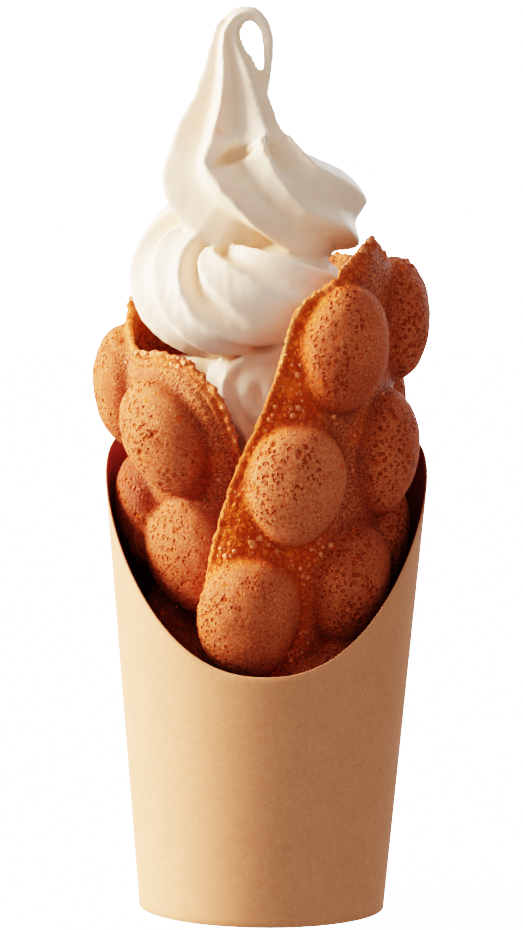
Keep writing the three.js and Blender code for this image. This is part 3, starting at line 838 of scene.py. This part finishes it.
serve = {
    "points": 7,  # of the rope's star section
    "depth": 0.26,
    "soften": 0.1,
    "peakDepth": 0.6,
    "peakLengths": (185, 215),
    "sides": 112,
    "tightest": 0.85,
    "coilStep": 5.0,
    "footSteps": 6,
    "peakSteps": 8,
    "tuckSteps": 8,
    "evenings": 3,
    "centreX": -2.8,
    "voxel": 0.735,
    "foot": [(4, -6, 122, 8.5), (1.5, -8, 132, 9), (-3, -9.5, 141, 9.3), (-8, -10, 149, 9.4),
             (-6.5, -9.5, 154, 9), (1, -9, 156, 9), (8, -6.5, 158, 10.5), (14, 0, 163, 12.5),
             (15.5, 0, 168.5, 13.5)],
    "coil": [(285, 17, 171, 13.5), (315, 18, 175, 14.2), (360, 18.5, 176.5, 15), (400, 19.5, 174.5, 17.6),
             (440, 19.5, 180, 19.5), (485, 16.5, 191, 17), (540, 13, 195.5, 14.5), (630, 16.8, 198.4, 14.8),
             (675, 14, 201, 15.5)],
    "peak": [(-5.5, -8, 204.5, 23), (-10.2, -4, 211.5, 23.8), (-12, -2, 220.5, 17.9),
             (-11.8, -0.5, 229.5, 13.2), (-12.1, 0, 238.5, 9.4), (-13, 0, 246, 5.8), (-12.2, 0, 251.5, 4.1),
             (-8.5, 0, 255.2, 3), (-4.2, 0, 254.8, 2.4), (-1.4, 0, 250.5, 2), (-0.9, 0, 245, 1.8),
             (-1, 0, 239.5, 1.5), (-1.4, 0, 234, 1.1)],
    # how far the section is turned: length along the rope, then degrees
    "phase": [(0, -93), (25, -93), (50, -110), (80, -152), (87, -157), (93, -171), (97, -189), (100, -208),
              (103, -230), (106, -257), (109, -290), (112, -318), (117, -350), (121, -368), (127, -398),
              (136, -425), (143, -438), (149, -433), (157, -431), (168, -429), (181, -428), (187, -438),
              (190, -443), (193, -449), (196, -459), (200, -469), (203, -478), (207, -486), (218, -496),
              (226, -502), (232, -503), (300, -505)],
    "grooves": [  # how deep each groove of the rope is along its length
        [(55, 1), (72, 0.15), (85, 0.15), (98, 0.3), (103, 1.1), (111, 1.4), (126, 1)],
        [(55, 1), (71, 0.1), (103, 0.1), (113, 0.3), (126, 1)],
        [(70, 1), (81, 0.5), (96, 1), (126, 1)],
        [(155, 1), (172, 0.2), (190, 0.2), (206, 1)],
        [(0, 1), (300, 1)],
        [(80, 1), (96, 0.5), (111, 0.8), (131, 1)],
        [(71, 1), (99, 0.9), (107, 0.35), (121, 0.3), (131, 1)],
    ],
    "tuck": [(4, -8, 112, 6), (4, -9, 128, 8.4), (2, -10, 144, 9), (-0.8, -9.5, 154, 7.4),
             (-1.5, -6, 161, 6)],
    # in front: x, height, length, width, tilt and depth
    "dents": [(-9.8, 215.6, 4.2, 1.3, 25, 3.2), (-11, 218.6, 4.2, 1.9, 20, -1.6),
              (-14.3, 222.2, 0.9, 0.9, 0, 0.9)],
    "worn": {"pleats": 12, "bend": 40, "slot": 25},
    "pieceLength": 24,
    "ripple": [(0.05, 4, 21), (0.1, 12, 22)],
    "core": [(150, 0.5), (158, 5), (168, 8), (176, 13), (190, 14), (204, 8), (209, 0.5)],
    "coreSides": 48,
    "fillingHeights": (46, 158),
    "fillingRows": 40,
    "fillingTurnStep": 4.0,
    "fillingClearance": 2.8,
    "fillingTaper": 8,
    "fillingTaperFrom": 125,
    "hollow": 20,
    "hollowHeights": (106, 130),
    "hollowTurns": (75, 35),
    "closingTurns": (320, 352),
    "waffleGap": 0.25,
    "mouthMargin": 1.5,
}


def pathThrough(stops, steps):  # places and radii of the rope along (x, y, z, radius) stops
    stops = [(i, *stop) for i, stop in enumerate(stops)]
    share = np.linspace(0, len(stops) - 1, (len(stops) - 1) * steps + 1)
    return np.stack([through(stops, share, k) for k in (1, 2, 3, 4)], 1)


def ropeLine():
    turns = np.arange(serve["coil"][0][0], serve["coil"][-1][0], serve["coilStep"])
    distance, height, radius = (through(serve["coil"], turns, k) for k in (1, 2, 3))
    angle = np.radians(turns)
    x = serve["centreX"] - distance * np.sin(angle)
    coil = np.stack([x, -distance * np.cos(angle), height, radius], 1)
    foot = pathThrough(serve["foot"], serve["footSteps"])[:-1]
    line = evened(np.concatenate([foot, coil, pathThrough(serve["peak"], serve["peakSteps"])]))
    return line[:, :3], line[:, 3]


def evened(values):
    for _ in range(serve["evenings"]):
        middle = (values[:-2] + 2 * values[1:-1] + values[2:]) / 4
        values = np.concatenate([values[:1], middle, values[-1:]])
    return values


def ropeRings(places, radii, side, phase, grooves):
    tangents = unit(np.gradient(places, axis=0))
    steps = np.linalg.norm(np.diff(places, axis=0), axis=1)
    length = np.concatenate([[0], np.cumsum(steps)])
    curve = evened(np.gradient(tangents, axis=0) / np.gradient(length)[:, None])
    around = circle(serve["sides"])
    wave = serve["depth"] * np.sqrt(np.sin(serve["points"] / 2 * around) ** 2 + serve["soften"] ** 2)
    groove = np.arange(serve["sides"]) * serve["points"] // serve["sides"]
    deep = np.array([through(stops, length) for stops in grooves])
    rings = []
    for i, place in enumerate(places):
        side = unit(side - side.dot(tangents[i]) * tangents[i])
        other = np.cross(tangents[i], side)
        angle = around - math.radians(float(through(phase, length[i])))
        way = np.cos(angle)[:, None] * side + np.sin(angle)[:, None] * other
        deeper = 1 + serve["peakDepth"] * easeWithin(*serve["peakLengths"], length[i])
        reach = radii[i] * (1 - wave * deep[groove, i] * deeper)
        bend = np.maximum(0, way @ curve[i]) * reach / serve["tightest"]
        rings.append(place + (reach / (1 + bend ** 4) ** 0.25)[:, None] * way)
    return np.array(rings)


def fillingRings():
    low, high = serve["fillingHeights"]
    turns = np.arange(0, 360, serve["fillingTurnStep"])
    rings = []
    for height in np.linspace(low, high, serve["fillingRows"]):
        closing = easeWithin(*serve["closingTurns"], turns)
        radius = sheetRadius(turns, height) * (1 - closing) + sheetRadius(0.0, height) * closing
        drawn = serve["fillingTaper"] * easeWithin(serve["fillingTaperFrom"], high, height)
        front = easeWithin(*serve["hollowTurns"], np.abs((turns + 180) % 360 - 180))
        drawn = drawn + serve["hollow"] * front * easeWithin(*serve["hollowHeights"], height)
        radius = radius - serve["fillingClearance"] - drawn
        angle = np.radians(turns)
        x = axisX(height) - radius * np.sin(angle)
        rings.append(np.stack([x, -radius * np.cos(angle), np.full(len(turns), height)], 1))
    return np.array(rings)[:, ::-1]


def buildSoftServe():
    parts = []
    rings = ropeRings(*ropeLine(), np.array([0, 0, 1.0]), serve["phase"], serve["grooves"])
    for start in range(0, len(rings) - 1, serve["pieceLength"]):
        parts.append(ringStack(rings[start:start + serve["pieceLength"] + 1]))
    tuck = pathThrough(serve["tuck"], serve["tuckSteps"])
    untwisted = [(0, 0), (300, 0)]
    fullDepth = [[(0, 1), (300, 1)]] * serve["points"]
    tuckRings = ropeRings(tuck[:, :3], tuck[:, 3], np.array([0, -1.0, 0]), untwisted, fullDepth)
    parts.append(ringStack(tuckRings))
    angle = circle(serve["coreSides"])
    core = []
    for height, radius in serve["core"]:
        x = serve["centreX"] + radius * np.cos(angle)
        core.append(np.stack([x, radius * np.sin(angle), np.full(len(angle), float(height))], 1))
    parts.append(ringStack(core))
    parts.append(ringStack(fillingRings()))
    thing = makeObject("soft_serve_swirl", *joined(parts))
    remeshed(thing, serve["voxel"])
    points, edges = pointsOf(thing), edgesOf(thing)
    print("soft serve remeshed", len(points))
    points = relaxed(points, edges, 3, shrinkBack=0.48)
    x, y, z = points.T
    worn = {  # where the crowded turns of the section are worn smooth
        "pleats": easeWithin(154, 158, z) * easeWithin(176, 168, z) * easeWithin(4, -4, x),
        "bend": easeWithin(140, 145, z) * easeWithin(158, 154, z) * easeWithin(0, -6, y)
        * (easeWithin(-8, -5, x) * easeWithin(8, 5, x)),
        "slot": easeWithin(157, 160, z) * easeWithin(167, 164, z) * easeWithin(-8, -12, y)
        * (easeWithin(-5, -3, x) * easeWithin(8, 6, x)),
    }
    for name, share in worn.items():
        for _ in range(serve["worn"][name]):
            points = points + 0.5 * share[:, None] * (averaged(points, edges) - points)
    broad = relaxed(points, edges, 14, 0.6)
    setPoints(thing, points)
    normals = normalsOf(thing)
    for x, z, long, wide, tilt, depth in serve["dents"]:
        across, up = points[:, 0] - x, points[:, 2] - z
        lean = math.radians(tilt)
        along = across * math.cos(lean) + up * math.sin(lean)
        over = up * math.cos(lean) - across * math.sin(lean)
        share = np.exp(-((along / long) ** 2 + (over / wide) ** 2)) * easeWithin(0.1, -0.4, normals[:, 1])
        points = points - normals * (depth * share)[:, None]
    setPoints(thing, points)
    normals = normalsOf(thing)
    # how deep each point lies in a groove, for painted shade
    valley = np.einsum("ij,ij->i", broad - points, normals)
    points = points + normals * layered(points, serve["ripple"])[:, None]

    turn, height, _ = sheetPlaces(points)  # kept inside the waffle's inner face
    x = points[:, 0] - axisX(points[:, 2])
    radius = np.hypot(x, points[:, 1])
    base = np.degrees(np.arctan2(-x, -points[:, 1])) % 360
    limit = np.full(len(points), 1e9)
    for shift in (-360, 0, 360):
        candidate = base + shift
        low, high = edgeHeights(candidate, ragged=False)
        covered = (candidate > waffle["firstTurn"]) & (candidate < waffle["lastTurn"])
        covered &= (points[:, 2] > low) & (points[:, 2] < high + serve["mouthMargin"])
        room = sheetRadius(candidate, points[:, 2]) - waffle["thickness"] / 2 - serve["waffleGap"]
        limit = np.where(covered, np.minimum(limit, room), limit)
    squeeze = np.minimum(radius, limit) / np.maximum(radius, 1e-6)
    points[:, 0] = axisX(points[:, 2]) + x * squeeze
    points[:, 1] = points[:, 1] * squeeze
    setPoints(thing, points)
    setValues(thing, valley=np.clip(valley / 0.5, 0, 1))
    shadeSmooth(thing)
    print("soft serve faces", len(thing.data.polygons))
    return thing


def serveMaterial():
    shader = Shader("softServe", Roughness=0.42, Specular_IOR_Level=0.4, Subsurface_Weight=0.2,
                    Subsurface_Radius=(1.0, 0.62, 0.38), Subsurface_Scale=0.003)
    valley = shader.value("valley")
    cloud = shader.noise(16, 3, 0.5)
    fine = shader.noise(1.1, 4, 0.6)
    cream = shader.blend(cloud.within(0.35, 0.7), colour(242, 214, 186), colour(248, 226, 201))
    # painted shade: warmer, darker cream in the grooves
    cream = shader.blend(valley.within(0.0, 0.9) * 0.6, cream, colour(236, 196, 154))
    return shader.feed(
        Base_Color=cream,
        Roughness=fine.within(0.3, 0.7, 0.38, 0.5),
        Normal=shader.bump(fine + cloud * 2.0 + shader.noise(0.45, 2, 0.6) * 0.5, 0.16, 0.7),
    )


scatterInputs = [
    ("Weight", "NodeSocketString"),
    ("Density", "NodeSocketFloat"),
    ("Smallest", "NodeSocketFloat"),
    ("Largest", "NodeSocketFloat"),
    ("Flatness", "NodeSocketFloat"),
    ("Roughening", "NodeSocketFloat"),
    ("Seed", "NodeSocketInt"),
    ("Material", "NodeSocketMaterial"),
]


def scatterTree():
    tree = bpy.data.node_groups.new("scatterOnSurface", "GeometryNodeTree")
    tree.interface.new_socket(name="Surface", in_out="INPUT", socket_type="NodeSocketGeometry")
    for name, kind in scatterInputs:
        tree.interface.new_socket(name=name, in_out="INPUT", socket_type=kind)
    tree.interface.new_socket(name="Grains", in_out="OUTPUT", socket_type="NodeSocketGeometry")

    def node(kind, settings=None, values=None):
        made = tree.nodes.new(kind)
        for key, value in (settings or {}).items():
            setattr(made, key, value)
        for key, value in (values or {}).items():
            if isinstance(value, bpy.types.NodeSocket):
                tree.links.new(value, made.inputs[key])
            else:
                made.inputs[key].default_value = value
        return made

    given = node("NodeGroupInput").outputs
    weight = node("GeometryNodeInputNamedAttribute", {"data_type": "FLOAT"}, {"Name": given["Weight"]})
    density = node("ShaderNodeMath", {"operation": "MULTIPLY"},
                   {0: weight.outputs["Attribute"], 1: given["Density"]})
    spots = node("GeometryNodeDistributePointsOnFaces", {"distribute_method": "RANDOM"},
                 {"Mesh": given["Surface"], "Density": density.outputs[0], "Seed": given["Seed"]})
    grain = node("GeometryNodeMeshIcoSphere", None, {"Radius": 1.0, "Subdivisions": 2})
    share = node("FunctionNodeRandomValue", {"data_type": "FLOAT"}, {"Seed": given["Seed"]})
    skewed = node("ShaderNodeMath", {"operation": "POWER"}, {0: share.outputs[1], 1: 2.0})
    size = node("ShaderNodeMapRange", None,
                {"Value": skewed.outputs[0], "To Min": given["Smallest"], "To Max": given["Largest"]})
    flat = node("ShaderNodeMath", {"operation": "MULTIPLY"}, {0: size.outputs[0], 1: given["Flatness"]})
    scale = node("ShaderNodeCombineXYZ", None, {0: size.outputs[0], 1: size.outputs[0], 2: flat.outputs[0]})
    placed = node("GeometryNodeInstanceOnPoints", None, {
        "Points": spots.outputs["Points"], "Instance": grain.outputs["Mesh"],
        "Rotation": spots.outputs["Rotation"], "Scale": scale.outputs[0]})
    real = node("GeometryNodeRealizeInstances", None, {"Geometry": placed.outputs[0]})
    rough = node("ShaderNodeTexNoise", None, {"Scale": 900.0, "Detail": 2.0})
    centred = node("ShaderNodeVectorMath", {"operation": "SUBTRACT"},
                   {0: rough.outputs["Color"], 1: (0.5, 0.5, 0.5)})
    push = node("ShaderNodeVectorMath", {"operation": "SCALE"},
                {0: centred.outputs[0], "Scale": given["Roughening"]})
    moved = node("GeometryNodeSetPosition", None, {"Geometry": real.outputs[0], "Offset": push.outputs[0]})
    smooth = node("GeometryNodeSetShadeSmooth", None, {"Geometry": moved.outputs[0]})
    finished = node("GeometryNodeSetMaterial", None,
                    {"Geometry": smooth.outputs[0], "Material": given["Material"]})
    node("NodeGroupOutput", None, {0: finished.outputs[0]})
    return tree


def scattered(name, surface, tree, settings):
    thing = newObject(name, surface.data)
    modifier = thing.modifiers.new("scatter", "NODES")
    modifier.node_group = tree
    for socket in tree.interface.items_tree:
        if socket.in_out == "INPUT" and socket.name in settings:
            modifier[socket.identifier] = settings[socket.name]
    return applied(thing)


def grainMaterial(name, dark, light, roughness=0.6):
    shader = Shader(name, Roughness=roughness)
    patch = shader.noise(2.0, 3, 0.6)
    return shader.feed(
        Base_Color=shader.blend(patch.within(0.35, 0.65), dark, light),
        Normal=shader.bump(shader.noise(0.4, 3, 0.6), 0.08, 0.6),
    )


cupWall = buildCupWall()
cupWall.data.materials.append(kraftMaterial())
cupBase = buildCupBase()
cupBase.data.materials.append(boardMaterial())
print("cup built")

bakedWaffle = buildWaffle()
bakedWaffle.data.materials.append(waffleMaterial())

softServe = buildSoftServe()
softServe.data.materials.append(serveMaterial())

grains = scatterTree()
crumbs = scattered("waffle_crumbs", bakedWaffle, grains, {
    "Weight": "crumb", "Density": 900000.0, "Smallest": 0.0002, "Largest": 0.00095, "Flatness": 0.75,
    "Roughening": 0.0006, "Seed": 5,
    "Material": grainMaterial("crumbs", colour(190, 96, 54), colour(216, 128, 84)),
})
blisters = scattered("waffle_blisters", bakedWaffle, grains, {
    "Weight": "blister", "Density": 220000.0, "Smallest": 0.0003, "Largest": 0.001, "Flatness": 0.5,
    "Roughening": 0.00012, "Seed": 9,
    "Material": grainMaterial("blisters", colour(198, 94, 44), colour(226, 130, 78), 0.5),
})
print("scattered", len(crumbs.data.polygons), len(blisters.data.polygons))

for piece, nodes, slot in [
    (cupWall, ["cup_wall"], "kraft_paper"),
    (cupBase, ["cup_base"], "kraft_board"),
    (bakedWaffle, ["waffle"], "baked_waffle"),
    (softServe, ["soft_serve"], "soft_serve"),
    (crumbs, ["waffle"], "baked_waffle"),
    (blisters, ["waffle"], "baked_waffle"),
]:
    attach(piece, "root")
    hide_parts(*nodes)

studio = {
    "floorSize": 6.0,
    "fill": 0.6,
    "fillRise": 0.15,
    "fillLean": 0.24,
    "fillTint": (1.0, 0.985, 1.005, 1),
    "backdrop": 20,
    "lights": {  # turned from the front by way of the left
        "keyLight": {"strength": 19, "tint": (1.0, 0.845, 0.695), "turn": 95, "height": 22, "angle": 40},
        "rimLight": {"strength": 1.2, "tint": (0.92, 0.96, 1.0), "turn": 208, "height": 15, "angle": 40},
    },
    "floorGlow": 12,
    "cameraPlace": (0.35, -1201.8, 224.57),
    "pitchDown": 4.639,
    "roll": 0.67,
    "lens": 163.12,
}

floorMesh = bpy.data.meshes.new("floor")
half = studio["floorSize"] / 2
corners = [(-half, -half, 0), (half, -half, 0), (half, half, 0), (-half, half, 0)]
floorMesh.from_pydata(corners, [], [(0, 1, 2, 3)])
floor = newObject("floor", floorMesh)
floorShader = Shader("paleFloor", Roughness=0.9, Emission_Color=(1, 1, 1, 1),
                     Emission_Strength=studio["floorGlow"])
floorTone = floorShader.blend(floorShader.noise(400, 2, 0.5), colour(250, 250, 250), colour(253, 253, 253))
floorMesh.materials.append(floorShader.feed(Base_Color=floorTone))
floor.visible_diffuse = False  # seen by the camera, but it throws no light on the cup
floor.visible_glossy = False

world = bpy.data.worlds.new("studio")
world.use_nodes = True
worldNodes, worldLinks = world.node_tree.nodes, world.node_tree.links
backdrop = worldNodes["Background"]
backdrop.inputs["Color"].default_value = (1, 1, 1, 1)
backdrop.inputs["Strength"].default_value = studio["backdrop"]
fillLight = worldNodes.new("ShaderNodeBackground")
fillLight.inputs["Color"].default_value = studio["fillTint"]
way = worldNodes.new("ShaderNodeTexCoord")
parts = worldNodes.new("ShaderNodeSeparateXYZ")
rise = worldNodes.new("ShaderNodeMath")  # less light comes from below and from the right
rise.operation = "MULTIPLY_ADD"
rise.inputs[1].default_value = studio["fill"] * studio["fillRise"]
lean = worldNodes.new("ShaderNodeMath")
lean.operation = "MULTIPLY_ADD"
lean.inputs[1].default_value = -studio["fill"] * studio["fillLean"]
lean.inputs[2].default_value = studio["fill"]
paths = worldNodes.new("ShaderNodeLightPath")
chosen = worldNodes.new("ShaderNodeMixShader")
for start, end in [
    (way.outputs["Generated"], parts.inputs[0]),
    (parts.outputs["X"], lean.inputs[0]),
    (parts.outputs["Z"], rise.inputs[0]),
    (lean.outputs[0], rise.inputs[2]),
    (rise.outputs[0], fillLight.inputs["Strength"]),
    (paths.outputs["Is Camera Ray"], chosen.inputs[0]),
    (fillLight.outputs[0], chosen.inputs[1]),
    (backdrop.outputs[0], chosen.inputs[2]),
    (chosen.outputs[0], worldNodes["World Output"].inputs["Surface"]),
]:
    worldLinks.new(start, end)
bpy.context.scene.world = world

for name, settings in studio["lights"].items():
    lamp = bpy.data.lights.new(name, "SUN")
    lamp.energy = settings["strength"]
    lamp.color = settings["tint"]
    lamp.angle = math.radians(settings["angle"])
    light = newObject(name, lamp)
    turn, lift = math.radians(settings["turn"]), math.radians(settings["height"])
    towards = Vector((-math.sin(turn) * math.cos(lift), -math.cos(turn) * math.cos(lift), math.sin(lift)))
    light.rotation_euler = towards.to_track_quat("Z", "Y").to_euler()

camera = newObject("camera", bpy.data.cameras.new("camera"))
camera.data.sensor_width = 36
camera.data.lens = studio["lens"]
camera.data.clip_start = 0.05
pitch, roll = math.radians(studio["pitchDown"]), math.radians(studio["roll"])
turned = Matrix.Rotation(math.pi / 2 - pitch, 4, "X") @ Matrix.Rotation(roll, 4, "Z")
camera.matrix_world = Matrix.Translation(Vector(studio["cameraPlace"]) * millimetre) @ turned
bpy.context.scene.camera = camera
bpy.context.scene.view_settings.view_transform = "Filmic"
bpy.context.scene.view_settings.look = "High Contrast"
print("studio ready")

print("pieces ready")
